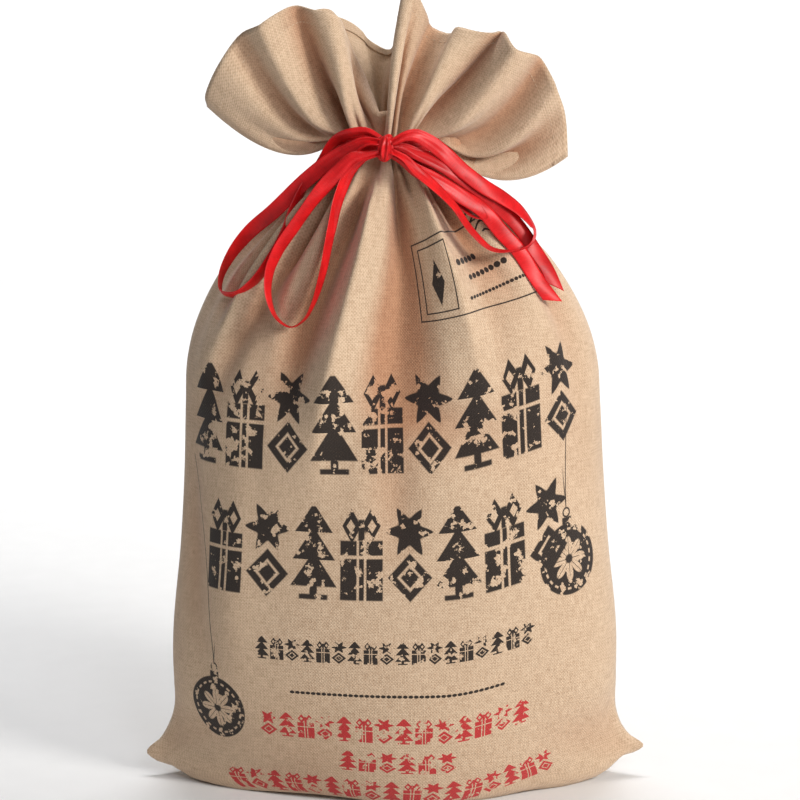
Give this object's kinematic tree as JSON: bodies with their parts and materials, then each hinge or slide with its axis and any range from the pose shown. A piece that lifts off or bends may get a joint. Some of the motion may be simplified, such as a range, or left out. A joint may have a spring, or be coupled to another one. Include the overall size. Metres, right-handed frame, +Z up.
{
  "type": "fabric gift sack",
  "caption": "Upright stuffed cloth gift sack with a fanned gathered top, tied at the neck with a satin ribbon bow whose loops and tails lift off the shoulder.",
  "frame": {"origin": "the middle of the base, on the floor", "axes": "+Z up, the printed front of the sack faces -Y, +X is to the right of someone who looks at the front"},
  "size_m": [0.464, 0.204, 0.7333],
  "materials": {
    "hessian": "matte",
    "seam_allowance": "matte",
    "wadding": "matte",
    "satin_ribbon": "satin"
  },
  "bodies": {
    "sack": {"front_panel": "hessian", "back_panel": "hessian", "left_side_seam": "seam_allowance", "right_side_seam": "seam_allowance", "bottom_seam": "seam_allowance", "mouth_hem_front": "seam_allowance", "mouth_hem_back": "seam_allowance", "stuffing": "wadding", "ribbon_wrap": "satin_ribbon", "ribbon_knot": "satin_ribbon"},
    "left_outer": {"left_outer_loop": "satin_ribbon"},
    "left_inner": {"left_inner_loop": "satin_ribbon"},
    "right_inner": {"right_inner_loop": "satin_ribbon"},
    "tails": {"front_tail": "satin_ribbon", "rear_tail": "satin_ribbon"},
    "right_outer": {"right_outer_loop": "satin_ribbon"}
  },
  "joints": [
    {"name": "left_outer_lift", "type": "hinge", "parent": "sack", "child": "left_outer", "pos_m": [-0.025, -0.053, 0.608], "axis": [-0.5529, 0.6233, 0.5529], "range_deg": [0, 35]},
    {"name": "left_inner_lift", "type": "hinge", "parent": "left_outer", "child": "left_inner", "pos_m": [-0.025, -0.0565, 0.593], "axis": [-0.5529, 0.6233, 0.5529], "range_deg": [0, 45]},
    {"name": "right_inner_lift", "type": "hinge", "parent": "sack", "child": "right_inner", "pos_m": [0.009, -0.0485, 0.5925], "axis": [-0.5529, -0.6233, -0.5529], "range_deg": [0, 15]},
    {"name": "tails_lift", "type": "hinge", "parent": "right_inner", "child": "tails", "pos_m": [0.009, -0.057, 0.594], "axis": [-0.5529, -0.6233, -0.5529], "range_deg": [0, 20]},
    {"name": "right_outer_lift", "type": "hinge", "parent": "tails", "child": "right_outer", "pos_m": [0.009, -0.062, 0.6015], "axis": [-0.5529, -0.6233, -0.5529], "range_deg": [0, 40]}
  ]
}
